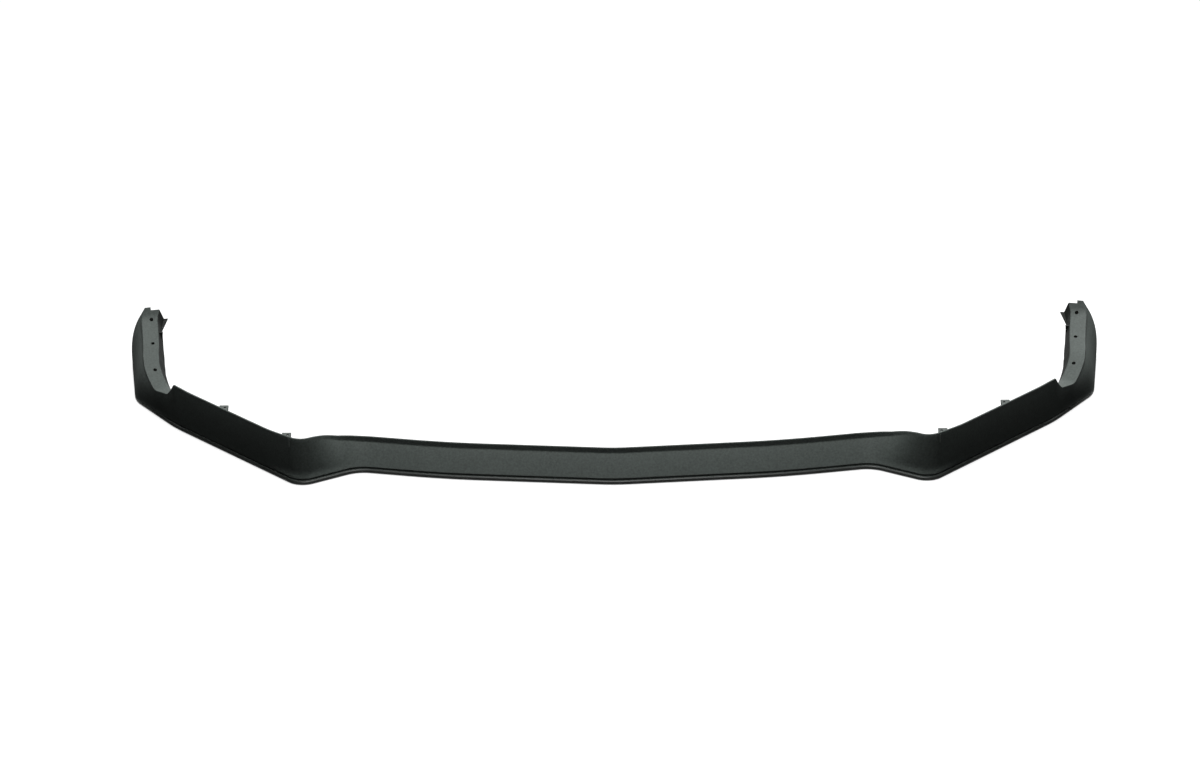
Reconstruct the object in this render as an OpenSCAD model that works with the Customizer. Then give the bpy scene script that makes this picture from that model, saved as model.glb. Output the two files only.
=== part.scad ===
// Front splitter lip: one moulded strip that follows the lower edge of a car's front bumper.
// X runs across the car, Y rearwards from the nose and Z up. The strip stands on its bottom flange.
// The bottom edge is a line of straight legs with rounded corners, seen from above. A cross-section
// is carried along it and changes from place to place, and both halves are mirror images.

/* [Plan line, right half] */
// Length of the inner part of the centre arm
arm_len = 301; // [240:1:360]
// Sweep of the inner part of the centre arm, in degrees rearwards
arm_sweep = 4.8; // [2:0.1:8]
// Length of the outer part of the centre arm
arm_tip_len = 158; // [130:1:200]
// Sweep of the outer part of the centre arm, in degrees rearwards
arm_tip_sweep = 10.1; // [8:0.1:14]
// Length of the flank that runs forward from the arm to the lobe
flank_len = 113; // [100:1:140]
// Forward sweep of the flank, in degrees
flank_sweep = 28.4; // [20:0.1:34]
// Length of the side from the lobe to the bend
side_len = 338; // [280:1:400]
// Sweep of the side, in degrees rearwards
side_sweep = 41.7; // [36:0.1:46]
// Length from the bend to the arch corner
bend_len = 139; // [120:1:170]
// Sweep between the bend and the arch corner, in degrees
bend_sweep = 50; // [47:0.1:56]
// Length of the arch end behind the corner
arch_len = 155; // [130:1:190]
// Sweep of the arch end, in degrees rearwards
arch_sweep = 78.7; // [70:0.1:84]

/* [Corner radii in plan] */
// Radius at the nose
nose_r = 300; // [150:5:500]
// Radius halfway along the centre arm
arm_r = 1500; // [800:10:2000]
// Radius where the arm turns into the flank
root_r = 60; // [40:1:80]
// Radius at the front of the lobe
lobe_r = 40; // [36:1:55]
// Radius at the bend of the side
bend_r = 300; // [150:5:400]
// Radius at the arch corner
arch_r = 70; // [50:1:110]

/* [Wall and toe] */
// Wall thickness
wall = 3; // [2.4:0.1:3.6]
// Width of the bottom flange
flange_w = 28; // [22:1:32]
// Radius of the rounded bead along the bottom edge
bead_r = 3.8; // [3:0.1:4.6]
// How far the face starts behind the bead
face_in = 3.6; // [2.6:0.1:5]
// How far it still does at the arch end
arch_face_in = 0.6; // [0.3:0.1:2]
// Height of the shadow groove between bead and face
groove_h = 3.4; // [2.5:0.1:5]
// Radius of the inner corner between flange and face
corner_r = 6; // [4:0.1:8]
// Size of the broken edge along the top
edge = 1; // [0.5:0.1:1.4]

/* [Centre section] */
// Height of the centre
centre_h = 58; // [50:0.5:68]
// How far the centre's top edge lies behind its bottom edge
centre_set = 31; // [24:0.5:36]
// Height of the upright rim above the sloping face
rim_h = 10; // [6:0.5:13]
// Bulge of the centre's face
centre_crown = 0.6; // [0:0.1:3]

/* [Lobe and side] */
// Height of the lobe
lobe_h = 87; // [78:0.5:95]
// Extra bulge of the flank's face between the root and the lobe
flank_crown = 1; // [0:0.5:6]
// Path length before the flank's root where the top edge starts to rise to the lobe
lobe_start = 16; // [6:1:24]
// Path length before the lobe's front where it has risen
lobe_full = 21; // [12:1:26]
// How far the lobe's top edge lies behind its bottom edge
lobe_set = 12; // [8:0.5:18]
// Bulge of the lobe's face
lobe_crown = 0.6; // [0:0.1:4]
// How far the foot of the lobe's face flares out
lobe_flare = 3; // [0:0.5:4]
// Path length behind the lobe's front where the lobe starts to become the side
side_start = 4; // [0:0.5:10]
// Height of the side
side_h = 85; // [76:0.5:92]
// How far the side's top edge lies behind its bottom edge
side_set = 7; // [4:0.5:12]
// Bulge of the side's face
side_crown = 1.2; // [0:0.1:4]
// Path length behind the lobe's front where the lobe has become the side
side_full = 90; // [70:1:120]
// Path length from the middle of the bend to where the side's top edge ends
notch_lag = 1; // [0:0.5:6]
// Path length over which that edge drops to the arch shelf
notch_len = 23; // [16:1:30]
// How much the side's top edge rises towards its end
tip_rise = 3; // [0:0.5:5]
// Path length over which it rises
tip_len = 45; // [30:1:60]

/* [Arch end] */
// Height of the shelf at its lowest place
shelf_z = 55.5; // [52:0.5:62]
// Path length from the foot of the notch to that lowest place
shelf_level = 38; // [34:1:52]
// How much higher the shelf is at the foot of the notch
shelf_dip = 6.5; // [0:0.5:9]
// Height of the shelf at the arch corner
shelf_corner_z = 82; // [76:0.5:88]
// Path length before the last fold where the rear climb starts
climb_len = 60; // [46:1:70]
// Height of the shelf there
shelf_climb_z = 96; // [90:0.5:102]
// Height of the shelf at its last fold
shelf_fold_z = 116; // [105:0.5:122]
// Height of the shelf at the wheel-arch edge
shelf_rear_z = 134; // [126:0.5:144]
// Path length from the last fold to the wheel-arch edge
fold_len = 26; // [20:1:36]
// Width of the shelf
shelf_w = 29; // [26:0.5:34]
// Width of the shelf at the foot of the notch
shelf_front_w = 12; // [10:0.5:20]
// Height of the return wall that hangs from the shelf
return_h = 26; // [20:0.5:32]
// Height of the return wall at the foot of the notch
return_front_h = 20; // [16:0.5:26]
// How far the return wall leans inboard behind the arch corner
return_lean = 7.5; // [3:0.5:10]
// How far it leans inboard at the arch corner and in front of it
return_front_lean = 11; // [7:0.5:12]
// How far the face leans inboard at the foot of the notch
arch_front_set = 2.5; // [1:0.5:5]
// How far the face leans inboard beside the shelf's level part
arch_set = 0.5; // [0:0.5:3]
// How far the face leans inboard at the arch corner
arch_corner_set = 22; // [18:0.5:25]
// How far the face leans inboard where the rear climb starts
arch_climb_set = 25; // [20:0.5:28]
// How far the face leans inboard at the last fold
arch_fold_set = 26; // [22:0.5:30]
// How far the face leans inboard at the wheel-arch edge
arch_rear_set = 34; // [30:0.5:38]
// Bulge of the face at the wheel-arch edge
arch_crown = 8; // [4:0.1:10]
// Height of the upper strip of the face that turns inboard at the wheel-arch edge
arch_rim = 14; // [8:0.5:18]
// How far that strip turns inboard
arch_kick = 8; // [4:0.5:11]
// How far forward the top of the wheel-arch edge leans
arch_rake = 29; // [15:1:36]
// Width of the bottom flange at the wheel-arch edge
arch_flange_w = 16; // [12:1:22]
// Width of the outer strip of the shelf that runs on to the wheel-arch edge
ear_w = 11; // [8:0.5:14]
// How far that strip runs on past the rest of the shelf
ear_len = 4; // [3:0.5:8]

/* [Shelf screws] */
// Diameter of the screw holes
hole_d = 7; // [6:0.5:9]
// Distance of the first hole before the wheel-arch edge, along the plan line
hole_first = 30; // [28:1:36]
// Distance from the first hole to the second
hole_second = 71; // [64:1:76]
// Distance from the second hole to the third
hole_third = 84; // [76:1:90]
// Distance of the holes inboard of the shelf's outer edge
hole_in = 18; // [15:0.5:19]
// Wall of the collars under the holes
collar_wall = 2.4; // [1.8:0.1:2.8]
// How far the collars reach below the shelf
collar_drop = 6; // [4:0.5:9]

/* [Small features] */
// Thickness of the gussets and tabs
web = 2.5; // [2:0.1:3]
// Distance of the return wall's gusset before the wheel-arch edge
gusset_back = 62; // [50:1:76]
// How far that gusset's top lies below the shelf
gusset_drop = 6; // [4:0.5:10]
// Reach of the triangular catch at the return wall's rear foot
catch_w = 6.5; // [5:0.5:10]
// Length of that catch
catch_len = 30; // [20:1:36]
// Width of the fastening tabs behind the side
tab_w = 16; // [14:0.5:20]
// Reach of the fastening tabs behind the top edge
tab_reach = 7.5; // [2:0.5:10]
// Height of the gussets under the tabs
tab_drop = 14; // [10:0.5:20]
// Diameter of the holes in the tabs
tab_hole_d = 5; // [4:0.5:6]
// Distance of the inner tab outboard of the lobe's front, along the plan line
tab_inner = 46; // [40:1:60]
// Distance of the outer tab before the notch, along the plan line
tab_outer = 125; // [100:1:140]

/* [Hidden] */
lip_colour = [0.16, 0.17, 0.16];
joint = 1.2;
far = 400;

// The plan line: legs as [length, heading], and the radius at the start of each leg
legs = [
    [arm_len, arm_sweep],
    [arm_tip_len, arm_tip_sweep],
    [flank_len, -flank_sweep],
    [side_len, side_sweep],
    [bend_len, bend_sweep],
    [arch_len, arch_sweep]
];
radii = [nose_r, arm_r, root_r, lobe_r, bend_r, arch_r];
n_legs = len(legs);

function total(v, n) = n <= 0 ? 0 : n == 1 ? v[0] : v[n - 1] + total(v, n - 1);
function along(h) = [cos(h), sin(h)];
function outward(h) = [sin(h), -cos(h)];

// The nose is turned on both sides of the middle, so half of its arc belongs to this half
function turn(i) = legs[i][1] - (i == 0 ? 0 : legs[i - 1][1]);
function tangent(i) = i >= n_legs ? 0 : radii[i] * tan(abs(turn(i)) / (i == 0 ? 1 : 2));
arc_lens = [for (i = [0:n_legs - 1]) radii[i] * abs(turn(i)) * PI / 180];
run_lens = [for (i = [0:n_legs - 1]) legs[i][0] - tangent(i) - tangent(i + 1)];

// Path lengths at the start of each arc, at its middle and at the rear end
arc_starts = [for (i = [0:n_legs - 1]) total(arc_lens, i) + total(run_lens, i)];
function corner_s(i) = arc_starts[i] + arc_lens[i] / 2;
s_end = total(arc_lens, n_legs) + total(run_lens, n_legs);
s_root = corner_s(2);
s_lobe = corner_s(3);
s_notch = corner_s(4) + notch_lag;
s_shelf = s_notch + notch_len;
s_corner = corner_s(5);
s_fold = s_end - fold_len;

// Corner points of the plan line, and the place and heading at a path length
vertices = [for (i = [0:n_legs])
    i == 0 ? [0, 0] : [
        total([for (leg = legs) leg[0] * cos(leg[1])], i),
        total([for (leg = legs) leg[0] * sin(leg[1])], i)
    ]];

function arc_place(i, d) =
    let (h0 = i == 0 ? 0 : legs[i - 1][1], way = sign(turn(i)))
    let (start = i == 0 ? [0, nose_r * (1 / cos(legs[0][1]) - 1)] : vertices[i] - tangent(i) * along(h0))
    let (centre = start - way * radii[i] * outward(h0))
    let (h = h0 + way * d / radii[i] * 180 / PI)
    [centre + way * radii[i] * outward(h), h];
function run_place(i, d) = [vertices[i] + (tangent(i) + d) * along(legs[i][1]), legs[i][1]];
function leg_at(s, i = 0) = i == n_legs - 1 || s < arc_starts[i + 1] ? i : leg_at(s, i + 1);
function place(s) =
    let (i = leg_at(s), d = s - arc_starts[i])
    d < arc_lens[i] ? arc_place(i, d) : run_place(i, d - arc_lens[i]);

// Cross-section values, in this order. The first five are the face's, the next six the top's
INSET = 0;
SLOPE = 1;
CROWN = 2;
FLANGE = 3;
RAKE = 4;
HEIGHT = 5;
RIM = 6;
KICK = 7;
SHELF = 8;
RETURN = 9;
LEAN = 10;
FLARE = 11;

bead_top = 2 * bead_r;
face_z = bead_top + groove_h + edge;

// A face value list from the place of its top, and a top value list
function face_values(inset, set, top, crown, flange, rake) = [
    inset,
    (set - top[KICK - HEIGHT] - inset) / (top[0] - top[RIM - HEIGHT] - face_z),
    crown,
    flange,
    rake
];
function bare_top(height, rim, kick) = [height, rim, kick, wall, plain_return, 0];
function shelf_top(height, turned, shelf = shelf_w, drop = return_h, lean = return_lean) = [
    height,
    mix(soft_rim, arch_rim, turned),
    mix(soft_kick, arch_kick, turned),
    shelf,
    drop,
    lean
];
function section(inset, set, top, crown, flange, rake) =
    concat(face_values(inset, set, top, crown, flange, rake), top);

plain_return = 4;
soft_rim = 5;
soft_kick = 0.5;
centre_sec = section(face_in, centre_set, bare_top(centre_h, rim_h, soft_kick), centre_crown, flange_w, 0);
lobe_sec = section(face_in, lobe_set, bare_top(lobe_h, soft_rim, 2 * soft_kick), lobe_crown, flange_w, 0);
side_sec = section(face_in, side_set, bare_top(side_h, soft_rim, soft_kick), side_crown, flange_w, 0);

front_top = shelf_top(shelf_z + shelf_dip, 0, shelf_front_w, return_front_h, return_front_lean);
level_top = shelf_top(shelf_z, 0, lean = return_front_lean);
corner_top = shelf_top(shelf_corner_z, 0.1, lean = return_front_lean);
climb_top = shelf_top(shelf_climb_z, 0.25);
fold_top = shelf_top(shelf_fold_z, 0.55);
rear_top = shelf_top(shelf_rear_z, 1);

// A face that is part of the way from the side's face to the one at the wheel-arch edge
function arch_face(set, top, inset_share, crown, flange_share, rake_share) = section(
    mix(face_in, arch_face_in, inset_share),
    set,
    top,
    crown,
    mix(flange_w, arch_flange_w, flange_share),
    arch_rake * rake_share
);
arch_secs = [
    [s_shelf, arch_face(arch_front_set, front_top, 0.25, side_crown, 0, 0)],
    [s_shelf + shelf_level, arch_face(arch_set, level_top, 0.6, side_crown, 0, 0)],
    [s_corner, arch_face(arch_corner_set, corner_top, 1, arch_crown * 0.5, 0.33, 0)],
    [s_fold - climb_len, arch_face(arch_climb_set, climb_top, 1, arch_crown * 0.7, 0.67, 0.15)],
    [s_fold, arch_face(arch_fold_set, fold_top, 1, arch_crown * 0.9, 1, 0.6)],
    [s_end, arch_face(arch_rear_set, rear_top, 1, arch_crown, 1, 1)]
];

function smooth_step(t) = let (c = min(1, max(0, t))) c * c * (3 - 2 * c);
function mix(a, b, t) = a * (1 - t) + b * t;

// Straight interpolation in a table of [path length, values], and the same with its kinks rounded
function straight_in(table, s, i = 0) =
    s <= table[0][0] ? table[0][1] :
    i == len(table) - 1 ? table[i][1] :
    s <= table[i + 1][0] ? mix(table[i][1], table[i + 1][1],
        (s - table[i][0]) / (table[i + 1][0] - table[i][0])) :
    straight_in(table, s, i + 1);
kink = 9;
function rounded_in(table, s) =
    let (w = min(kink, table[len(table) - 1][0] - s))
    total([for (k = [-2:2]) straight_in(table, s + w * k / 2)], 5) / 5;

lobe_from = s_root - lobe_start;
lobe_to = s_lobe - lobe_full;
side_from = s_lobe + side_start;
side_to = s_lobe + side_full;
arch_from = s_notch - tip_len;
arch_to = s_shelf + shelf_level;

// How much of a shelf there is: none before the notch, all of it behind
notch_bow = 0.45;
function shelf_share(s) =
    let (t = min(1, max(0, (s - s_notch) / notch_len)))
    t * (1 + notch_bow * (1 - t));

// The top edge drops at the notch, while the face below it changes over a longer stretch
function values(s) =
    let (to_lobe = smooth_step((s - lobe_from) / (lobe_to - lobe_from)))
    let (to_side = smooth_step((s - side_from) / (side_to - side_from)))
    let (to_arch = smooth_step((s - arch_from) / (arch_to - arch_from)))
    let (rise = tip_rise * smooth_step((s - s_notch + tip_len) / tip_len))
    let (plain = mix(mix(centre_sec, lobe_sec, to_lobe), side_sec, to_side))
    let (arch = rounded_in(arch_secs, s))
    let (bulge = flank_crown * 4 * to_lobe * (1 - to_lobe))
    concat(
        [for (k = [0:LEAN])
            let (extra = k == CROWN ? bulge : k == HEIGHT ? rise : 0)
            mix(plain[k] + extra, arch[k], k < HEIGHT ? to_arch : shelf_share(s))],
        [lobe_flare * to_lobe * (1 - to_side)]
    );

// How far the top edge lies behind the bottom edge
function set_of(v) = v[KICK] + v[INSET] + v[SLOPE] * (v[HEIGHT] - v[RIM] - face_z);

// Outer side of a section, as [outward, up], from the flange's inner edge over the face and the
// shelf to the foot of the return wall
bead_steps = 4;
face_steps = 6;

// The bead stands out by as much as the face starts behind it, so it fades where the face doesn't
function bead_share(v) = (v[INSET] - arch_face_in) / (face_in - arch_face_in);
function bead_point(v, k) =
    let (a = -90 + 170 * k / bead_steps)
    [bead_r * (cos(a) - 1) * (a > 0 ? bead_share(v) : 1), bead_r * (sin(a) + 1)];

// Round the lobe the foot of the face flares out over this share of the face's height
flare_share = 1 / face_steps;
function face_point(v, t) =
    let (foot = [-v[INSET] - v[FLARE], face_z], top = [v[KICK] - set_of(v), v[HEIGHT] - v[RIM]])
    let (rise = top - foot, flare = v[FLARE] * pow(max(0, 1 - t / flare_share), 2))
    let (out = [rise[1], -rise[0]] / norm(rise))
    foot + rise * t + [flare, 0] + out * v[CROWN] * 4 * t * (1 - t) * (0.8 + 0.4 * t);

function outer_side(v) =
    let (groove = -v[INSET] - edge * bead_share(v), outer = -set_of(v), inner = -set_of(v) - v[SHELF])
    concat(
        [[-v[FLANGE], 0]],
        [for (k = [0:bead_steps]) bead_point(v, k)],
        [[groove, bead_top + edge / 2], [groove, bead_top + groove_h]],
        [for (k = [0:face_steps]) face_point(v, k / face_steps)],
        [
            [outer, v[HEIGHT] - edge],
            [outer - edge, v[HEIGHT]],
            [inner + edge, v[HEIGHT]],
            [inner, v[HEIGHT] - edge],
            [inner - v[LEAN], v[HEIGHT] - v[RETURN]]
        ]
    );

// Inner side of a section, point by point behind the outer side
n_toe = bead_steps + 3;
function toe_inner(v, k) =
    let (a = -90 + 84 * k / (n_toe - 1))
    [-v[INSET] - edge - wall - corner_r, wall + corner_r] + corner_r * [cos(a), sin(a)];

function face_inner(v, t) =
    let (d = 0.02, p = face_point(v, t))
    let (way = face_point(v, min(1, t + d)) - face_point(v, max(0, t - d)))
    let (inner = p - wall * [way[1], -way[0]] / norm(way))
    [min(inner[0], -v[INSET] - edge - wall), inner[1]];

// Under the top: with a shelf the points run along its underside, without one down the bare wall
top_drop = 0.7;
function top_inner(v, k, share) =
    let (under = v[HEIGHT] - wall, outer = -set_of(v), inner = -set_of(v) - v[SHELF])
    let (shelf = [
        [outer - wall * 0.94, under - wall / 2],
        [outer - wall * 1.3, under],
        [inner + wall + edge, under],
        [inner + wall, under - edge],
        [inner - v[LEAN] + wall, v[HEIGHT] - v[RETURN]]
    ])
    let (bare = [outer - wall, v[HEIGHT] - plain_return - top_drop * (5 - k)])
    mix(bare, shelf[k], share);

function inner_side(v, share) = concat(
    [[-v[FLANGE], wall]],
    [for (k = [0:n_toe - 1]) toe_inner(v, k)],
    [for (k = [0:face_steps]) face_inner(v, k / face_steps)],
    [for (k = [0:4]) top_inner(v, k, share)]
);

// Stations: close together where the strip bends or changes, far apart where it runs straight
function steps(a, b, d) = let (n = max(1, ceil((b - a) / d))) [for (k = [0:n - 1]) a + (b - a) * k / n];
straight_step = 60;
soft_step = 22;
curve_step = 12;
fine_step = 8;
notch_step = 4.6;
lobe_half = 30;
corner_half = 26;
fold_half = 12;
arch_step = 13;
arch_corner_step = 9;
arch_climb_step = 23;
stations = concat(
    steps(0, lobe_from - 2 * curve_step, straight_step),
    steps(lobe_from - 2 * curve_step, s_lobe - lobe_half, curve_step),
    steps(s_lobe - lobe_half, s_lobe + lobe_half, fine_step),
    steps(s_lobe + lobe_half, side_to, soft_step),
    steps(side_to, arch_from, straight_step),
    steps(arch_from, s_notch, curve_step),
    steps(s_notch, s_shelf, notch_step),
    steps(s_shelf, s_corner - corner_half, arch_step),
    steps(s_corner - corner_half, s_corner + corner_half, arch_corner_step),
    steps(s_corner + corner_half, s_fold - fold_half, arch_climb_step),
    steps(s_fold - fold_half, s_fold + fold_half, fine_step),
    steps(s_fold + fold_half, s_end, curve_step),
    [s_end]
);
n_half = len(stations);

// Sections turn with the plan line, but round the arch corner they turn over a longer stretch
arch_ease = 52;
function section_heading(s) =
    let (w = arch_ease * smooth_step((s - s_notch + arch_ease) / (2 * arch_ease)))
    total([for (k = [-2:2]) place(s + w * k / 2)[1]], 5) / 5;

// A point of the part, before it is centred, from a path length and a point of the section
function spot(s, q, rake = 0) =
    let (h = section_heading(s))
    let (flat = place(s)[0] + q[0] * outward(h) - rake * q[1] / shelf_rear_z * along(h))
    [flat[0], flat[1], q[1]];

function ring(s) =
    let (v = values(s), inner = inner_side(v, shelf_share(s)), n = len(inner))
    let (loop = concat(outer_side(v), [for (k = [n - 1:-1:0]) inner[k]]))
    [for (q = loop) spot(s, q, v[RAKE])];

right_rings = [for (s = stations) ring(s)];
rings = concat(
    [for (k = [n_half - 1:-1:1]) [for (p = right_rings[k]) [-p[0], p[1], p[2]]]],
    right_rings
);

n_ring = len(rings[0]);
n_rings = len(rings);
skin_points = [for (r = rings) for (p = r) p];
all_y = [for (p = skin_points) p[1]];
y_mid = (min(all_y) + max(all_y)) / 2;

function at_ring(r, k) = r * n_ring + (k + n_ring) % n_ring;
skin_faces = concat(
    [for (r = [0:n_rings - 2]) for (k = [0:n_ring - 1]) for (half = [0, 1])
        half == 0
            ? [at_ring(r, k), at_ring(r, k + 1), at_ring(r + 1, k + 1)]
            : [at_ring(r, k), at_ring(r + 1, k + 1), at_ring(r + 1, k)]],
    [for (k = [0:n_ring / 2 - 2]) for (r = [0, n_rings - 1])
        r == 0
            ? [at_ring(r, k), at_ring(r, n_ring - 1 - k), at_ring(r, n_ring - 2 - k), at_ring(r, k + 1)]
            : [at_ring(r, k), at_ring(r, k + 1), at_ring(r, n_ring - 2 - k), at_ring(r, n_ring - 1 - k)]]
);

// The strip itself: toe, face, rim, bottom flange, arch shelves and their return walls
module strip() {
    polyhedron(points = skin_points, faces = skin_faces, convexity = 8);
}

// Children are placed at a path length with X along the strip, Y inboard and Z up
module on_path(s, inboard = 0, z = 0) {
    at = place(s)[0];
    translate([at[0], at[1], z]) rotate(section_heading(s)) translate([0, inboard, 0]) children();
}

// A three-cornered web between two places of the strip; corners run clockwise in the section
module web_between(s_a, a, s_b, b) {
    polyhedron(
        points = concat(
            [for (q = a) spot(s_a, q, values(s_a)[RAKE])],
            [for (q = b) spot(s_b, q, values(s_b)[RAKE])]
        ),
        faces = [[0, 1, 2], [5, 4, 3], [0, 3, 4, 1], [1, 4, 5, 2], [2, 5, 3, 0]]
    );
}

// Removes the shelf's inboard part from the last stretch, which leaves the outer ear
cut_clear = 6;
module ear_cut() {
    foot = shelf_rear_z - return_h - cut_clear;
    lean = arch_rake / shelf_rear_z;
    on_path(s_end, arch_rear_set + ear_w) mirror([0, 1, 0]) rotate([90, 0, 0])
        linear_extrude(height = far) polygon([
            [-ear_len - lean * foot, foot],
            [far, foot],
            [far, far],
            [-ear_len - lean * far, far]
        ]);
}

// Screw hole in the shelf, straight down as the mould draws it
round_sides = 32;
hole_places = [
    s_end - hole_first,
    s_end - hole_first - hole_second,
    s_end - hole_first - hole_second - hole_third
];
module at_hole(s) {
    v = values(s);
    lean = v[RAKE] * v[HEIGHT] / shelf_rear_z;
    on_path(s, set_of(v) + hole_in, v[HEIGHT]) translate([-lean, 0, 0]) children();
}
module shelf_hole(s) {
    at_hole(s) translate([0, 0, -far / 2]) cylinder(d = hole_d, h = far, $fn = round_sides);
}

// Collar under a screw hole, cut off halfway up the sloping shelf
function shelf_tilt(s) =
    let (a = values(s - hole_d / 2), b = values(s + hole_d / 2))
    let (low = spot(s - hole_d / 2, [-set_of(a) - hole_in, a[HEIGHT]], a[RAKE]))
    let (high = spot(s + hole_d / 2, [-set_of(b) - hole_in, b[HEIGHT]], b[RAKE]))
    atan2(high[2] - low[2], norm([high[0] - low[0], high[1] - low[1]]));
module hole_collar(s) {
    d = hole_d + 2 * collar_wall;
    at_hole(s) intersection() {
        translate([0, 0, -wall - collar_drop])
            cylinder(d = d, h = wall + collar_drop + d, $fn = round_sides);
        rotate([0, -shelf_tilt(s), 0]) translate([-far / 2, -far / 2, -far - wall / 2]) cube(far);
    }
}

// Thin upright gusset that fills the lean of the return wall and stands a little proud of its foot
gusset_proud = 1;
module return_gusset() {
    s = s_end - gusset_back;
    v = values(s);
    inner = -set_of(v) - v[SHELF];
    top = v[HEIGHT] - gusset_drop;
    foot = v[HEIGHT] - v[RETURN];
    corners = [
        [inner + joint, top],
        [inner - v[LEAN] + joint, foot + gusset_proud],
        [inner - v[LEAN] - gusset_proud, top]
    ];
    web_between(s, corners, s + web, corners);
}

// Three-cornered catch that stands inboard from the foot of the return wall, just short of its end
catch_short = 1;
function return_foot(s, in, up) =
    let (v = values(s)) [-set_of(v) - v[SHELF] - v[LEAN] - in, v[HEIGHT] - v[RETURN] + up];
module return_catch() {
    rear = s_end - ear_len - catch_short;
    front = rear - catch_len;
    outline = [[rear, -joint], [rear, catch_w], [front, -joint], [s_fold, -joint]];
    polyhedron(
        points = [for (up = [0, web]) for (c = outline)
            spot(c[0], return_foot(c[0], c[1], up), values(c[0])[RAKE])],
        faces = concat(
            [[0, 1, 3], [1, 2, 3], [7, 5, 4], [7, 6, 5]],
            [for (k = [0:3]) [k, k + 4, (k + 1) % 4 + 4]],
            [for (k = [0:3]) [k, (k + 1) % 4 + 4, (k + 1) % 4]]
        )
    );
}

// Fastening tab behind the side's top edge: a level plate square to the car, on one gusset
module tab_plate(s) {
    v = values(s);
    sweep = section_heading(s);
    start = spot(s, [-set_of(v) - wall / 2, v[HEIGHT] - edge - web]);
    lean = tab_drop * set_of(v) / v[HEIGHT] / cos(sweep);
    function wall_y(x) = x * tan(sweep);
    translate(start) difference() {
        union() {
            linear_extrude(height = web) polygon([
                [0, 0],
                [0, tab_reach],
                [-tab_w, tab_reach],
                [-tab_w, wall_y(-tab_w)]
            ]);
            translate([-tab_w, 0, 0]) rotate([90, 0, 90]) linear_extrude(height = web) polygon([
                [wall_y(-tab_w), web / 2],
                [tab_reach, web / 2],
                [tab_reach, 0],
                [wall_y(web - tab_w) - lean, -tab_drop],
                [wall_y(-tab_w) - lean, -tab_drop]
            ]);
        }
        translate([-tab_w * 0.66, (tab_reach + wall_y(-tab_w * 0.66)) / 2, -web])
            cylinder(d = tab_hole_d, h = 3 * web, $fn = round_sides);
    }
}

module half_features() {
    for (s = hole_places) hole_collar(s);
    return_gusset();
    return_catch();
    tab_plate(s_lobe + tab_inner);
    tab_plate(s_notch - tab_outer);
}

module splitter_lip() {
    color(lip_colour) translate([0, -y_mid, 0]) difference() {
        union() {
            strip();
            half_features();
            mirror([1, 0, 0]) half_features();
        }
        for (side = [0, 1]) mirror([side, 0, 0]) {
            ear_cut();
            for (s = hole_places) shelf_hole(s);
        }
    }
}

splitter_lip();
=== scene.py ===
"""The looks of a front splitter lip: one moulded strip of grained black plastic in a plain studio."""

import math
from collections import namedtuple

import bmesh
import bpy
from mathutils import Matrix, Vector


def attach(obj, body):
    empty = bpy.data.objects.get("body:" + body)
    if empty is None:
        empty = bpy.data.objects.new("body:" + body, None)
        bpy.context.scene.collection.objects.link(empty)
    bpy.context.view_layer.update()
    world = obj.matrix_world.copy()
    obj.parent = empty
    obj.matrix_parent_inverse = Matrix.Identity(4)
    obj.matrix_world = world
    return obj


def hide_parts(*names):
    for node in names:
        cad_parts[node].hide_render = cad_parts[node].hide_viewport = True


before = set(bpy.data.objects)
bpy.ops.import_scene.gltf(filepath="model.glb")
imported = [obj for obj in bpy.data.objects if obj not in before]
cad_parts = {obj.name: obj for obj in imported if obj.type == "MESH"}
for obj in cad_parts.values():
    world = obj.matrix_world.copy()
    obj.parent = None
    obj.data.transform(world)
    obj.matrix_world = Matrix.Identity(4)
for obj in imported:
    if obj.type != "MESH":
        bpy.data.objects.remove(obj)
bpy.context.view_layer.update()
bpy.ops.object.select_all(action="DESELECT")
scene = bpy.context.scene
MM = 0.001


# The camera stands where the photograph was taken from

PHOTO_WIDTH = 1200
PHOTO_HEIGHT = 765
FOCAL_PIXELS = 2560
LOOK_DOWN = math.radians(28)
STAND_OFF = 4.720
AIM_Y = 0.0077
AXIS_PIXEL = (614.5, 418.7)
ROLL = math.radians(-0.42)
ROLL_CENTRE = (614.5, 440.0)


def photo_camera():
    """A camera whose middle is the photograph's middle, turned from the line that it was fitted on."""
    data = bpy.data.cameras.new("photo_camera")
    data.sensor_width = 36
    data.lens = FOCAL_PIXELS / PHOTO_WIDTH * data.sensor_width
    data.clip_end = 100
    camera = bpy.data.objects.new("photo_camera", data)
    scene.collection.objects.link(camera)
    aside = PHOTO_WIDTH / 2 - ROLL_CENTRE[0]
    below = PHOTO_HEIGHT / 2 - ROLL_CENTRE[1]
    level_x = aside * math.cos(ROLL) + below * math.sin(ROLL) + ROLL_CENTRE[0]
    level_y = below * math.cos(ROLL) - aside * math.sin(ROLL) + ROLL_CENTRE[1]
    ahead = Vector((level_x - AXIS_PIXEL[0], AXIS_PIXEL[1] - level_y, -FOCAL_PIXELS))
    aim = Vector((0, 0, -1)).rotation_difference(ahead).to_matrix()
    level = Matrix.Rotation(math.pi / 2 - LOOK_DOWN, 3, "X")
    turned = level @ aim @ Matrix.Rotation(ROLL, 3, "Z")
    back = Vector((0, -math.cos(LOOK_DOWN), math.sin(LOOK_DOWN)))
    camera.matrix_world = Matrix.Translation(Vector((0, AIM_Y, 0)) + back * STAND_OFF) @ turned.to_4x4()
    scene.camera = camera


photo_camera()


# Plan line of the right half, in millimetres: legs as (length, sweep), and the radius before each

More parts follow.
